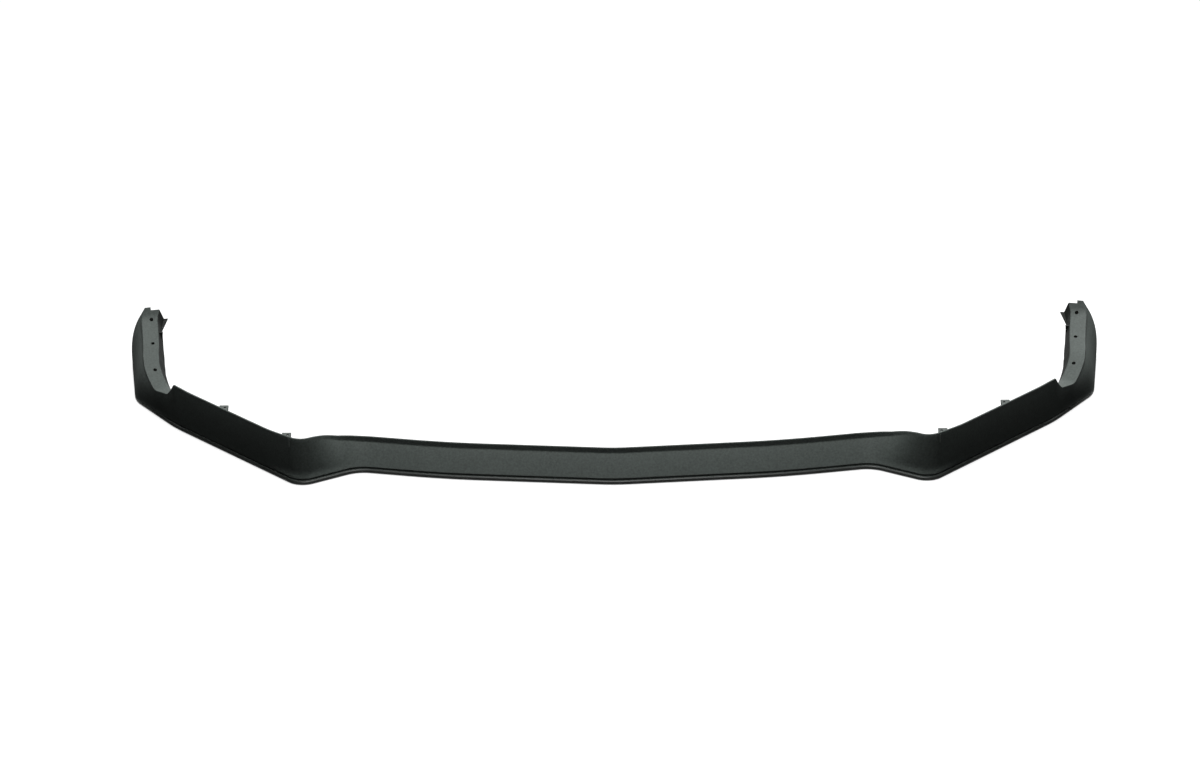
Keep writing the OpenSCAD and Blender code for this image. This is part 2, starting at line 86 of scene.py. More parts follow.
LEGS = [(301, 4.8), (158, 10.1), (113, -28.4), (338, 41.7), (139, 50), (155, 78.7)]
CORNER_RADII = [300, 1500, 60, 40, 300, 70]
NOTCH_LAG = 1
NOTCH_LEN = 23
TIP_RISE = 3
TIP_LEN = 45
SHELF_LEVEL = 38
CLIMB_LEN = 60
FOLD_LEN = 26
ARCH_EASE = 52

# Wall and toe
WALL = 3
FLANGE_W = 28
BEAD_R = 3.8
BEAD_TOP = 2 * BEAD_R
BEAD_TURN = 170
FACE_IN = 3.6
ARCH_FACE_IN = 0.6
FACE_Z = 12
GROOVE_EDGE = 1
TOE_CORNER_R = 6
TOE_TURN = 84
PLAIN_RETURN = 4
TOP_DROP = 0.7

# Where the face changes from the centre's form to the lobe's, and from there to the side's
LOBE_START = 16
LOBE_FULL = 21
SIDE_START = 4
SIDE_FULL = 90

# Arch end
SHELF_FRONT_Z = 62
SHELF_LOW_Z = 55.5
SHELF_CORNER_Z = 82
SHELF_CLIMB_Z = 96
SHELF_FOLD_Z = 116
SHELF_REAR_Z = 134
SHELF_FRONT_W = 12
RETURN_FRONT_H = 20
RETURN_H = 26
RETURN_LEAN = 7.5
RETURN_FRONT_LEAN = 11
SHELF_W = 29
ARCH_REAR_SET = 34
ARCH_RAKE = 29
EAR_W = 11
EAR_LEN = 4
HOLE_D = 7
HOLE_IN = 18
COLLAR_WALL = 2.4
COLLAR_DROP = 6
WEB = 2.5
JOINT = 1.2
GUSSET_BACK = 62
GUSSET_DROP = 6
CATCH_W = 6.5
CATCH_LEN = 30
ARCH_CROWN = 8

# Fastening tabs
TAB_W = 16
TAB_REACH = 7.5
TAB_DROP = 14
TAB_HOLE_D = 5
TAB_INNER = 46
TAB_OUTER = 125

Section = namedtuple("Section", "inset slope crown flange rake height rim kick shelf hang lean flare")


def section(inset, set_back, top, crown, flange, rake):
    """A section's values, with its face's slope worked out from where the top lies."""
    height, rim, kick = top[:3]
    slope = (set_back - kick - inset) / (height - rim - FACE_Z)
    return Section(inset, slope, crown, flange, rake, *top, 0)


def bare_top(height, rim, kick):
    return height, rim, kick, WALL, PLAIN_RETURN, 0


def shelf_top(height, turned, shelf=SHELF_W, hang=RETURN_H, lean=RETURN_LEAN):
    return height, 5 + 9 * turned, 0.5 + 7.5 * turned, shelf, hang, lean


CENTRE = section(FACE_IN, 31, bare_top(58, 10, 0.5), 0.6, FLANGE_W, 0)
LOBE = section(FACE_IN, 12, bare_top(87, 5, 1), 0.6, FLANGE_W, 0)
SIDE = section(FACE_IN, 7, bare_top(85, 5, 0.5), 1.2, FLANGE_W, 0)


def set_back_of(v):
    """How far the top edge lies behind the bottom edge."""
    return v.kick + v.inset + v.slope * (v.height - v.rim - FACE_Z)


def along(heading):
    return Vector((math.cos(heading), math.sin(heading)))


def outward(heading):
    return Vector((math.sin(heading), -math.cos(heading)))


def lay_out_plan():
    """Corner points, the turn and tangent length at each, and the path lengths where arcs start."""
    headings = [0] + [math.radians(sweep) for _, sweep in LEGS]
    corners = [Vector((0, 0))]
    for (length, _), heading in zip(LEGS, headings[1:]):
        corners.append(corners[-1] + along(heading) * length)
    turns = [after - before for before, after in zip(headings, headings[1:])]
    tangents = []
    for k, (turn, radius) in enumerate(zip(turns, CORNER_RADII)):
        tangents.append(radius * math.tan(abs(turn) / (1 if k == 0 else 2)))
    tangents.append(0)
    starts = [0]
    for k, (length, _) in enumerate(LEGS):
        arc = CORNER_RADII[k] * abs(turns[k])
        starts.append(starts[-1] + arc + length - tangents[k] - tangents[k + 1])
    return headings, corners, turns, tangents, starts


HEADINGS, CORNERS, TURNS, TANGENTS, STARTS = lay_out_plan()


def corner_s(k):
    return STARTS[k] + CORNER_RADII[k] * abs(TURNS[k]) / 2


S_END = STARTS[-1]
S_ROOT = corner_s(2)
S_LOBE = corner_s(3)
S_NOTCH = corner_s(4) + NOTCH_LAG
S_SHELF = S_NOTCH + NOTCH_LEN
S_CORNER = corner_s(5)
S_FOLD = S_END - FOLD_LEN
HOLE_PLACES = (S_END - 30, S_END - 101, S_END - 185)


def place(s):
    """Point and heading of the plan line at a path length."""
    k = max(i for i in range(len(LEGS)) if i == 0 or s >= STARTS[i])
    radius = CORNER_RADII[k]
    past = s - STARTS[k]
    arc = radius * abs(TURNS[k])
    if past >= arc:
        heading = HEADINGS[k + 1]
        return CORNERS[k] + along(heading) * (TANGENTS[k] + past - arc), heading
    way = math.copysign(1, TURNS[k])
    before = HEADINGS[k]
    start = CORNERS[k] - along(before) * TANGENTS[k]
    if k == 0:
        start = Vector((0, radius * (1 / math.cos(HEADINGS[1]) - 1)))
    heading = before + way * past / radius
    return start + (outward(heading) - outward(before)) * way * radius, heading


def smooth_step(t):
    t = min(1, max(0, t))
    return t * t * (3 - 2 * t)


def mix(a, b, share):
    return [x * (1 - share) + y * share for x, y in zip(a, b)]


def arch_section(inset_share, set_back, top, crown, flange, rake_share):
    inset = FACE_IN * (1 - inset_share) + ARCH_FACE_IN * inset_share
    return section(inset, set_back, top, crown, flange, ARCH_RAKE * rake_share)


FRONT_TOP = shelf_top(SHELF_FRONT_Z, 0, SHELF_FRONT_W, RETURN_FRONT_H, RETURN_FRONT_LEAN)
LOW_TOP = shelf_top(SHELF_LOW_Z, 0, lean=RETURN_FRONT_LEAN)
CORNER_TOP = shelf_top(SHELF_CORNER_Z, 0.1, lean=RETURN_FRONT_LEAN)

# Along the arch end: path length, then the values that arch_section() names
ARCH_SECTIONS = [
    (S_SHELF, arch_section(0.25, 2.5, FRONT_TOP, 1.2, 28, 0)),
    (S_SHELF + SHELF_LEVEL, arch_section(0.6, 0.5, LOW_TOP, 1.2, 28, 0)),
    (S_CORNER, arch_section(1, 22, CORNER_TOP, ARCH_CROWN * 0.5, 24, 0)),
    (S_FOLD - CLIMB_LEN, arch_section(1, 25, shelf_top(SHELF_CLIMB_Z, 0.25), ARCH_CROWN * 0.7, 20, 0.15)),
    (S_FOLD, arch_section(1, 26, shelf_top(SHELF_FOLD_Z, 0.55), ARCH_CROWN * 0.9, 16, 0.6)),
    (S_END, arch_section(1, ARCH_REAR_SET, shelf_top(SHELF_REAR_Z, 1), ARCH_CROWN, 16, 1)),
]
KINK = 9
KINK_SAMPLES = 4
NOTCH_BOW = 0.45
FLANK_CROWN = 1
LOBE_FLARE = 3
FLARE_SHARE = 0.17


def straight_arch(s):
    """Arch values straight between the table's rows."""
    if s <= ARCH_SECTIONS[0][0]:
        return ARCH_SECTIONS[0][1]
    for (a, low), (b, high) in zip(ARCH_SECTIONS, ARCH_SECTIONS[1:]):
        if s <= b:
            return mix(low, high, (s - a) / (b - a))
    return ARCH_SECTIONS[-1][1]


def rounded_arch(s):
    """The same with the rows' kinks rounded."""
    reach = min(KINK, S_END - s)
    count = 2 * KINK_SAMPLES + 1
    rows = [straight_arch(s + reach * k / KINK_SAMPLES) for k in range(-KINK_SAMPLES, KINK_SAMPLES + 1)]
    return [sum(column) / count for column in zip(*rows)]


def shelf_share(s):
    """0 before the notch and 1 behind it, where the top edge has dropped to the shelf."""
    t = min(1, max(0, (s - S_NOTCH) / NOTCH_LEN))
    return t * (1 + NOTCH_BOW * (1 - t))


def section_at(s):
    """The section's values at a path length: the top drops at the notch, the face changes more slowly."""
    to_lobe = smooth_step((s - S_ROOT + LOBE_START) / (S_LOBE - LOBE_FULL - S_ROOT + LOBE_START))
    to_side = smooth_step((s - S_LOBE - SIDE_START) / (SIDE_FULL - SIDE_START))
    to_arch = smooth_step((s - S_NOTCH + TIP_LEN) / (S_SHELF + SHELF_LEVEL - S_NOTCH + TIP_LEN))
    plain = Section(*mix(mix(CENTRE, LOBE, to_lobe), SIDE, to_side))
    rise = TIP_RISE * smooth_step((s - S_NOTCH + TIP_LEN) / TIP_LEN)
    bulge = FLANK_CROWN * 4 * to_lobe * (1 - to_lobe)
    plain = plain._replace(height=plain.height + rise, crown=plain.crown + bulge)
    arch = rounded_arch(s)
    face = mix(plain[:5], arch[:5], to_arch)
    top = mix(plain[5:-1], arch[5:-1], shelf_share(s))
    return Section(*face, *top, LOBE_FLARE * to_lobe * (1 - to_side))


def section_heading(s):
    """Sections turn with the plan line, but round the arch corner over a longer stretch."""
    reach = ARCH_EASE * smooth_step((s - S_NOTCH + ARCH_EASE) / (2 * ARCH_EASE))
    samples = [place(s + reach * k / 4)[1] for k in range(-4, 5)]
    return sum(samples) / len(samples)


def spot(s, q, rake=0):
    """A point of the part, in metres, from a path length and a point of the section."""
    heading = section_heading(s)
    flat = place(s)[0] + outward(heading) * q[0] - along(heading) * (rake * q[1] / SHELF_REAR_Z)
    return Vector((flat.x, flat.y, q[1])) * MM


# The outline of a section, as (outward, up), with every edge rounded as a mould's is

BEAD_STEPS = 14
FACE_STEPS = 18
TOE_STEPS = 8
RETURN_STEPS = 4
ROUND_STEPS = 4


def bead_share(v):
    """How much of the bead stands out: it fades where the face starts flush with it."""
    return (v.inset - ARCH_FACE_IN) / (FACE_IN - ARCH_FACE_IN)


def bead_point(v, k):
    angle = math.radians(-90 + BEAD_TURN * k / BEAD_STEPS)
    share = bead_share(v) if angle > 0 else 1
    return Vector((BEAD_R * (math.cos(angle) - 1) * share, BEAD_R * (math.sin(angle) + 1)))


def face_point(v, t):
    foot = Vector((-v.inset - v.flare, FACE_Z))
    rise = Vector((v.kick - set_back_of(v), v.height - v.rim)) - foot
    out = Vector((rise.y, -rise.x)).normalized()
    flare = Vector((v.flare * max(0, 1 - t / FLARE_SHARE) ** 2, 0))
    return foot + rise * t + flare + out * (v.crown * 4 * t * (1 - t) * (0.8 + 0.4 * t))


def face_inner(v, t):
    way = face_point(v, min(1, t + 0.02)) - face_point(v, max(0, t - 0.02))
    inner = face_point(v, t) - Vector((way.y, -way.x)).normalized() * WALL
    return Vector((min(inner.x, -v.inset - GROOVE_EDGE - WALL), inner.y))


def under_top(v, share):
    """Corners under the top: beneath the shelf, or down the bare wall where there is no shelf."""
    under = v.height - WALL
    outer = -set_back_of(v)
    inner = outer - v.shelf
    beneath = [
        (outer - WALL * 1.05, under),
        (inner + WALL, under),
        (inner - v.lean + WALL, v.height - v.hang),
    ]
    bare = [(outer - WALL, v.height - PLAIN_RETURN - TOP_DROP * drop) for drop in (4.5, 2.5, 1)]
    return [Vector(mix(a, b, share)) for a, b in zip(bare, beneath)]


def toe_inner(v, k):
    angle = math.radians(-90 + TOE_TURN * k / TOE_STEPS)
    centre = Vector((-v.inset - GROOVE_EDGE - WALL - TOE_CORNER_R, WALL + TOE_CORNER_R))
    return centre + Vector((math.cos(angle), math.sin(angle))) * TOE_CORNER_R


def outer_corners(v):
    """Corners from the flange over the face to the shelf's inboard edge.

    Each is (point, radius, points on the straight that follows).
    """
    outer = -set_back_of(v)
    inner = outer - v.shelf
    groove = -v.inset - GROOVE_EDGE * bead_share(v)
    corners = [(Vector((-v.flange, WALL)), 0.8, 0), (Vector((-v.flange, 0)), 0.8, 2)]
    corners += [(bead_point(v, k), 0, 0) for k in range(BEAD_STEPS + 1)]
    corners += [
        (Vector((groove, BEAD_TOP + 0.2)), 0.6, 0),
        (Vector((groove, FACE_Z - 1)), 0.6, 0),
        (face_point(v, 0), 0.7, 0),
    ]
    corners += [(face_point(v, k / FACE_STEPS), 0, 0) for k in range(1, FACE_STEPS)]
    corners += [
        (face_point(v, 1), 1.6, 3),
        (Vector((outer, v.height)), 1.3, 7),
        (Vector((inner, v.height)), 1.3, RETURN_STEPS),
    ]
    return corners


def inner_corners(v, share):
    """Corners from the return wall's foot back to the flange, on the mould's other side."""
    return_foot = Vector((-set_back_of(v) - v.shelf - v.lean, v.height - v.hang))
    face, shelf, foot = under_top(v, share)
    corners = [(return_foot, 0.6, 0), (foot, 0.6, 3), (shelf, 1.5, 6), (face, 1.5, 1)]
    corners += [(face_inner(v, k / FACE_STEPS), 0, 0) for k in range(FACE_STEPS, 0, -1)]
    corners += [(toe_inner(v, k), 0, 0) for k in range(TOE_STEPS, -1, -1)]
    return corners


def section_loop(v, share):
    """Points round a section, with rounded corners and extra points on the long straights."""
    corners = outer_corners(v) + inner_corners(v, share)
    points = []
    for k, (corner, radius, extra) in enumerate(corners):
        before = corners[k - 1][0] - corner
        after = corners[(k + 1) % len(corners)][0] - corner
        if radius:
            reach = min(radius, before.length * 0.42, after.length * 0.42)
            start = corner + before.normalized() * reach
            end = corner + after.normalized() * reach
            for step in range(ROUND_STEPS + 1):
                u = step / ROUND_STEPS
                points.append(start * (1 - u) ** 2 + corner * 2 * u * (1 - u) + end * u * u)
        else:
            points.append(corner)
        if extra:
            leave = points[-1]
            far_corner, far_radius, _ = corners[(k + 1) % len(corners)]
            arrive = far_corner - after.normalized() * min(far_radius, after.length * 0.42)
            for step in range(extra):
                points.append(leave.lerp(arrive, 0.5 - 0.5 * math.cos(math.pi * (step + 1) / (extra + 1))))
    return points


def smooth_ranges():
    """Where the loop's points lie on the ungrained bead, and on the mould's other side, which takes the
    finish whose deeper black is partly painted shade.
    """
    counts = [(ROUND_STEPS + 1 if radius else 1) + extra for _, radius, extra in outer_corners(CENTRE)]
    bead_start = sum(counts[:2])
    mould_side = sum(counts) - RETURN_STEPS - 1
    return (bead_start, bead_start + BEAD_STEPS), (mould_side, math.inf)


def spread(start, end, spacing):
    count = max(1, math.ceil((end - start) / spacing))
    return [start + (end - start) * k / count for k in range(count)]


# Path lengths of the sections, closer together where the form turns
STATIONS = (
    spread(0, S_ROOT - 60, 14)
    + spread(S_ROOT - 60, S_LOBE - 34, 4.5)
    + spread(S_LOBE - 34, S_LOBE + 34, 2.8)
    + spread(S_LOBE + 34, S_LOBE + 96, 6)
    + spread(S_LOBE + 96, S_NOTCH - 6, 14)
    + spread(S_NOTCH - 6, S_SHELF + 10, 1.7)
    + spread(S_SHELF + 10, S_FOLD - 12, 4)
    + spread(S_FOLD - 12, S_FOLD + 10, 1.8)
    + spread(S_FOLD + 10, S_END, 3.2)
    + [S_END]
)


# Shader groups shared by the materials

def new_group(name, inputs, outputs):
    group = bpy.data.node_groups.new(name, "ShaderNodeTree")
    for label, value in inputs:
        socket = group.interface.new_socket(label, in_out="INPUT", socket_type="NodeSocketFloat")
        socket.default_value = value
    for label in outputs:
        group.interface.new_socket(label, in_out="OUTPUT", socket_type="NodeSocketFloat")
    return group, group.nodes.new("NodeGroupInput"), group.nodes.new("NodeGroupOutput")


def maths(tree, operation, first, second):
    node = tree.nodes.new("ShaderNodeMath")
    node.operation = operation
    for socket, value in zip(node.inputs, (first, second)):
        if isinstance(value, (int, float)):
            socket.default_value = value
        else:
            tree.links.new(value, socket)
    return node.outputs[0]


def moulded_grain():
    """Fine leather-like grain of a textured mould, as a height."""
    group, given, out = new_group("moulded_grain", [("Cell Size", 0.0009), ("Softness", 0.5)], ["Height"])
    links = group.links
    where = group.nodes.new("ShaderNodeTexCoord")
    scale = maths(group, "DIVIDE", 1.0, given.outputs["Cell Size"])
    cells = group.nodes.new("ShaderNodeTexVoronoi")
    cells.feature = "SMOOTH_F1"
    links.new(where.outputs["Object"], cells.inputs["Vector"])
    links.new(scale, cells.inputs["Scale"])
    links.new(given.outputs["Softness"], cells.inputs["Smoothness"])
    pits = group.nodes.new("ShaderNodeTexNoise")
    pits.inputs["Detail"].default_value = 3
    links.new(where.outputs["Object"], pits.inputs["Vector"])
    links.new(maths(group, "MULTIPLY", scale, 1.7), pits.inputs["Scale"])
    fine = maths(group, "MULTIPLY", pits.outputs["Fac"], 0.6)
    links.new(maths(group, "SUBTRACT", fine, cells.outputs["Distance"]), out.inputs["Height"])
    return group


def handled_surface():
    """Cloudy patches where the surface is a little glossier or dusty."""
    group, given, out = new_group("handled_surface", [("Patch Size", 0.1), ("Contrast", 0.5)], ["Patches"])
    links = group.links
    where = group.nodes.new("ShaderNodeTexCoord")
    cloud = group.nodes.new("ShaderNodeTexNoise")
    cloud.inputs["Detail"].default_value = 5
    cloud.inputs["Roughness"].default_value = 0.6
    links.new(where.outputs["Object"], cloud.inputs["Vector"])
    links.new(maths(group, "DIVIDE", 1.0, given.outputs["Patch Size"]), cloud.inputs["Scale"])
    centred = maths(group, "SUBTRACT", cloud.outputs["Fac"], 0.5)
    spread_out = maths(group, "MULTIPLY", centred, given.outputs["Contrast"])
    links.new(maths(group, "ADD", spread_out, 0.5), out.inputs["Patches"])
    return group


def edge_wear():
    """1 on sharp outer edges, broken up, and 0 elsewhere."""
    group, given, out = new_group("edge_wear", [("Start", 0.53), ("Reach", 0.07)], ["Wear"])
    links = group.links
    shape = group.nodes.new("ShaderNodeNewGeometry")
    above = maths(group, "SUBTRACT", shape.outputs["Pointiness"], given.outputs["Start"])
    share = maths(group, "DIVIDE", above, given.outputs["Reach"])
    where = group.nodes.new("ShaderNodeTexCoord")
    broken = group.nodes.new("ShaderNodeTexNoise")
    broken.inputs["Scale"].default_value = 60
    links.new(where.outputs["Object"], broken.inputs["Vector"])
    wear = group.nodes.new("ShaderNodeClamp")
    links.new(maths(group, "MULTIPLY", share, broken.outputs["Fac"]), wear.inputs["Value"])
    links.new(wear.outputs[0], out.inputs["Wear"])
    return group


def placed(tree, group, **values):
    node = tree.nodes.new("ShaderNodeGroup")
    node.node_tree = group
    for label, value in values.items():
        node.inputs[label.replace("_", " ")].default_value = value
    return node


def colour_mix(tree, share, first, second):
    node = tree.nodes.new("ShaderNodeMix")
    node.data_type = "RGBA"
    tree.links.new(share, node.inputs["Factor"])
    for socket, value in zip([s for s in node.inputs if s.type == "RGBA"], (first, second)):
        if isinstance(value, tuple):
            socket.default_value = value
        else:
            tree.links.new(value, socket)
    return [s for s in node.outputs if s.type == "RGBA"][0]


def grained_black():
    """Black polypropylene with a moulded grain, slightly paler where it is rubbed."""
    material = bpy.data.materials.new("grained_black")
    material.use_nodes = True
    tree = material.node_tree
    shader = tree.nodes["Principled BSDF"]
    grain = placed(tree, moulded_grain(), Cell_Size=0.0009)
    surface = handled_surface()
    large = placed(tree, surface, Patch_Size=0.16, Contrast=0.7)
    small = placed(tree, surface, Patch_Size=0.02, Contrast=0.5)
    mottle = placed(tree, surface, Patch_Size=0.0035, Contrast=3.6)
    wear = placed(tree, edge_wear())
    clouds = maths(tree, "ADD", large.outputs[0], small.outputs[0])
    patches = maths(tree, "DIVIDE", maths(tree, "ADD", clouds, mottle.outputs[0]), 3.0)
    base = colour_mix(tree, patches, (0.024, 0.0285, 0.026, 1), (0.068, 0.081, 0.075, 1))
    worn = colour_mix(tree, wear.outputs[0], base, (0.072, 0.078, 0.073, 1))
    tree.links.new(worn, shader.inputs["Base Color"])
    rough = tree.nodes.new("ShaderNodeMapRange")
    rough.inputs["To Min"].default_value = 0.58
    rough.inputs["To Max"].default_value = 0.7
    tree.links.new(patches, rough.inputs["Value"])
    tree.links.new(rough.outputs["Result"], shader.inputs["Roughness"])
    shader.inputs["Specular IOR Level"].default_value = 0.2
    bump = tree.nodes.new("ShaderNodeBump")
    bump.inputs["Strength"].default_value = 0.35
    bump.inputs["Distance"].default_value = 0.0004
    tree.links.new(grain.outputs["Height"], bump.inputs["Height"])
    tree.links.new(bump.outputs["Normal"], shader.inputs["Normal"])
    return material


def smooth_black_painted_shade():
    """The same plastic on the bead and the mould's other side: ungrained and a little glossier. Its deeper
    black is partly the ungrained surface's own and partly painted shade for the shadow on the return wall's
    inboard face in the channel behind the shelf.
    """
    material = bpy.data.materials.new("smooth_black_painted_shade")
    material.use_nodes = True
    tree = material.node_tree
    shader = tree.nodes["Principled BSDF"]
    surface = placed(tree, handled_surface(), Patch_Size=0.05, Contrast=1.6)
    # painted shade: these darker colours stand partly for the shadow inside the channel behind the shelf,
    # not only for the plastic's own black
    base = colour_mix(tree, surface.outputs[0], (0.009, 0.0105, 0.0095, 1), (0.019, 0.021, 0.0195, 1))
    tree.links.new(base, shader.inputs["Base Color"])
    rough = tree.nodes.new("ShaderNodeMapRange")
    rough.inputs["To Min"].default_value = 0.36
    rough.inputs["To Max"].default_value = 0.52
    tree.links.new(surface.outputs[0], rough.inputs["Value"])
    tree.links.new(rough.outputs["Result"], shader.inputs["Roughness"])
    shader.inputs["Specular IOR Level"].default_value = 0.18
    return material


MATERIALS = (grained_black(), smooth_black_painted_shade())
# SMOOTH is the ungrained finish, whose deeper black is partly painted shade.
GRAINED, SMOOTH = range(2)


# Hand tools: a shape is added at its place, shaped in edit mode and finished with applied modifiers

def only(piece):
    bpy.ops.object.select_all(action="DESELECT")
    piece.select_set(True)
    bpy.context.view_layer.objects.active = piece


def outward_faces(piece):
    only(piece)
    bpy.ops.object.mode_set(mode="EDIT")
    bpy.ops.mesh.select_all(action="SELECT")
    bpy.ops.mesh.remove_doubles(threshold=1e-6)
    bpy.ops.mesh.normals_make_consistent(inside=False)
    bpy.ops.object.mode_set(mode="OBJECT")


def apply_modifier(piece, kind, **settings):
    only(piece)
    modifier = piece.modifiers.new(kind.lower(), kind)
    for name, value in settings.items():
        setattr(modifier, name, value)
    bpy.ops.object.modifier_apply(modifier=modifier.name)


def block(name, low, high):
    """A prism from the corners of its lower face and those of its upper face."""
    bpy.ops.mesh.primitive_cylinder_add(vertices=len(low), radius=1, depth=2)
    piece = bpy.context.object
    piece.name = name
    below = iter(low)
    above = iter(high)
    for vertex in piece.data.vertices:
        vertex.co = next(below) if vertex.co.z < 0 else next(above)
    outward_faces(piece)
    return piece


def joined(name, pieces):
    bpy.ops.object.select_all(action="DESELECT")
    for piece in pieces:
        piece.select_set(True)
    bpy.context.view_layer.objects.active = pieces[0]
    bpy.ops.object.join()
    pieces[0].name = name
    return pieces[0]


def both_halves(piece, merge):
    apply_modifier(
        piece,
        "MIRROR",
        use_axis=(True, False, False),
        use_mirror_merge=merge,
        use_clip=merge,
        merge_threshold=1e-5,
    )
    outward_faces(piece)


def finished(piece, finish):
    """Give a piece both finishes, with all its faces in one of them."""
    for material in MATERIALS:
        piece.data.materials.append(material)
    for face in piece.data.polygons:
        face.material_index = finish
    return piece


def moulded_strip():
    """The strip as a grid wrapped round the section at each station, closed at its rear end."""
    loops = [section_loop(section_at(s), shelf_share(s)) for s in STATIONS]
    round_count = len(loops[0])
    bpy.ops.mesh.primitive_grid_add(x_subdivisions=round_count, y_subdivisions=len(loops) - 1, size=1)
    strip = bpy.context.object
    strip.name = "splitter_moulding"
    rakes = [section_at(s).rake for s in STATIONS]
    row = round_count + 1
    for number, vertex in enumerate(strip.data.vertices):
        station = number // row
        point = loops[station][number % row % round_count]
        vertex.co = spot(STATIONS[station], point, rakes[station])
    finished(strip, GRAINED)
    # The bead and the mould's other side get the smooth finish; on the mould's other side its deeper black
    # is partly painted shade for the channel behind the shelf.
    ranges = smooth_ranges()
    for face in strip.data.polygons:
        at = min(number % row for number in face.vertices)
        if any(start <= at < end for start, end in ranges):
            face.material_index = SMOOTH
    only(strip)
    bpy.ops.object.mode_set(mode="EDIT")
    bpy.ops.mesh.select_all(action="SELECT")
    bpy.ops.mesh.remove_doubles(threshold=1e-7)
    bpy.ops.mesh.select_all(action="DESELECT")
    shape = bmesh.from_edit_mesh(strip.data)
    for edge in shape.edges:
        ends_at_arch = all(vertex.co.x > 0.5 for vertex in edge.verts)
        if edge.is_boundary and ends_at_arch:
            edge.select = True
    bmesh.update_edit_mesh(strip.data)
    bpy.ops.mesh.edge_face_add()
    bpy.ops.object.mode_set(mode="OBJECT")
    both_halves(strip, True)
    return strip


def lifted(points, z):
    return [Vector((p[0], p[1], z)) * MM for p in points]


def beside(s, forward, inboard, z):
    """A point in metres, forward along the strip's heading and inboard of the plan line."""
    heading = section_heading(s)
    flat = place(s)[0] + along(heading) * forward - outward(heading) * inboard
    return Vector((flat.x, flat.y, z)) * MM


def hole_middle(s):
    """A point of the shelf's top on the line of its screw holes."""
    v = section_at(s)
    return spot(s, (-set_back_of(v) - HOLE_IN, v.height), v.rake)


def screw_collar(s):
    """Short tube under a screw hole, whose top end lies in the sloping shelf."""
    middle = hole_middle(s)
    climb = hole_middle(s + HOLE_D / 2) - hole_middle(s - HOLE_D / 2)
    run = Vector((climb.x, climb.y, 0))
    bpy.ops.mesh.primitive_cylinder_add(vertices=40, radius=(HOLE_D / 2 + COLLAR_WALL) * MM, depth=0.01)
    collar = bpy.context.object
    collar.name = "screw_collar"
    for vertex in collar.data.vertices:
        if vertex.co.z > 0:
            vertex.co.z = vertex.co.dot(run) / run.length_squared * climb.z - WALL / 2 * MM
        else:
            vertex.co.z = -(WALL + COLLAR_DROP) * MM
        vertex.co += middle
    outward_faces(collar)
    return collar


def cutters():
    """Screw holes of the shelf and the step that leaves the outer ear."""
    below_return = 6
    pieces = []
    for s in HOLE_PLACES:
        bpy.ops.mesh.primitive_cylinder_add(vertices=40, radius=HOLE_D / 2 * MM, depth=0.04)
        drill = bpy.context.object
        for vertex in drill.data.vertices:
            vertex.co += hole_middle(s)
        pieces.append(drill)
    foot = SHELF_REAR_Z - RETURN_H - below_return
    lean = ARCH_RAKE / SHELF_REAR_Z
    step_in = ARCH_REAR_SET + EAR_W
    far = 60
    levels = []
    for z in (foot, SHELF_REAR_Z + far):
        front = -EAR_LEN - lean * z
        corners = [(front, step_in), (far, step_in), (far, step_in + far), (front, step_in + far)]
        levels.append([beside(S_END, x, y, z) for x, y in corners])
    pieces.append(block("ear_step", *levels))
    # The cut faces of the holes and the ear step take the cutters' smooth finish, whose deeper black is
    # partly painted shade.
    cutter = joined("cutters", [finished(piece, SMOOTH) for piece in pieces])
    both_halves(cutter, False)
    return cutter


def gusset():
    """Thin upright web in the lean of the return wall."""
    s = S_END - GUSSET_BACK
    faces = []
    for at in (s, s + WEB):
        v = section_at(at)
        inner = -set_back_of(v) - v.shelf
        top = v.height - GUSSET_DROP
        outline = [
            (inner + JOINT, top),
            (inner - v.lean + JOINT, v.height - v.hang + 1),
            (inner - v.lean - 1, top),
        ]
        faces.append([spot(at, q, v.rake) for q in outline])
    return block("return_gusset", *faces)


def catch():
    """Three-cornered catch at the rear foot of the return wall."""
    rear = S_END - EAR_LEN - 1
    front = rear - CATCH_LEN
    levels = []
    for up in (0, WEB):
        level = []
        for s, reach in ((rear, -JOINT), (rear, CATCH_W), (front, -JOINT), (S_FOLD, -JOINT)):
            v = section_at(s)
            foot = (-set_back_of(v) - v.shelf - v.lean - reach, v.height - v.hang + up)
            level.append(spot(s, foot, v.rake))
        levels.append(level)
    return block("return_catch", *levels)


def tab(s):
    """Level fastening tab behind the top edge, on one gusset, with a hole for its screw."""
    v = section_at(s)
    sweep = section_heading(s)
    start = spot(s, (-set_back_of(v) - WALL / 2, v.height - 1 - WEB))
    lean = TAB_DROP * set_back_of(v) / v.height / math.cos(sweep)

    def wall_y(x):
        return x * math.tan(sweep)

    outline = [(0, 0), (0, TAB_REACH), (-TAB_W, TAB_REACH), (-TAB_W, wall_y(-TAB_W))]
    plate = block("tab_plate", *[[start + p for p in lifted(outline, z)] for z in (0, WEB)])
    sides = []
    for x in (-TAB_W, WEB - TAB_W):
        profile = [
            (wall_y(-TAB_W), WEB / 2),
            (TAB_REACH, WEB / 2),
            (TAB_REACH, 0),
            (wall_y(WEB - TAB_W) - lean, -TAB_DROP),
            (wall_y(-TAB_W) - lean, -TAB_DROP),
        ]
        sides.append([start + Vector((x, y, z)) * MM for y, z in profile])
    under = block("tab_gusset", *sides)
    apply_modifier(plate, "BOOLEAN", operation="UNION", solver="EXACT", object=under)
    bpy.data.objects.remove(under)
    x = -TAB_W * 0.66
    middle = start + Vector((x, (TAB_REACH + wall_y(x)) / 2, 0)) * MM
    radius = TAB_HOLE_D / 2 * MM
    bpy.ops.mesh.primitive_cylinder_add(vertices=32, radius=radius, depth=0.012, location=middle)
    drill = bpy.context.object
    apply_modifier(plate, "BOOLEAN", operation="DIFFERENCE", solver="EXACT", object=drill)
    bpy.data.objects.remove(drill)
    return plate


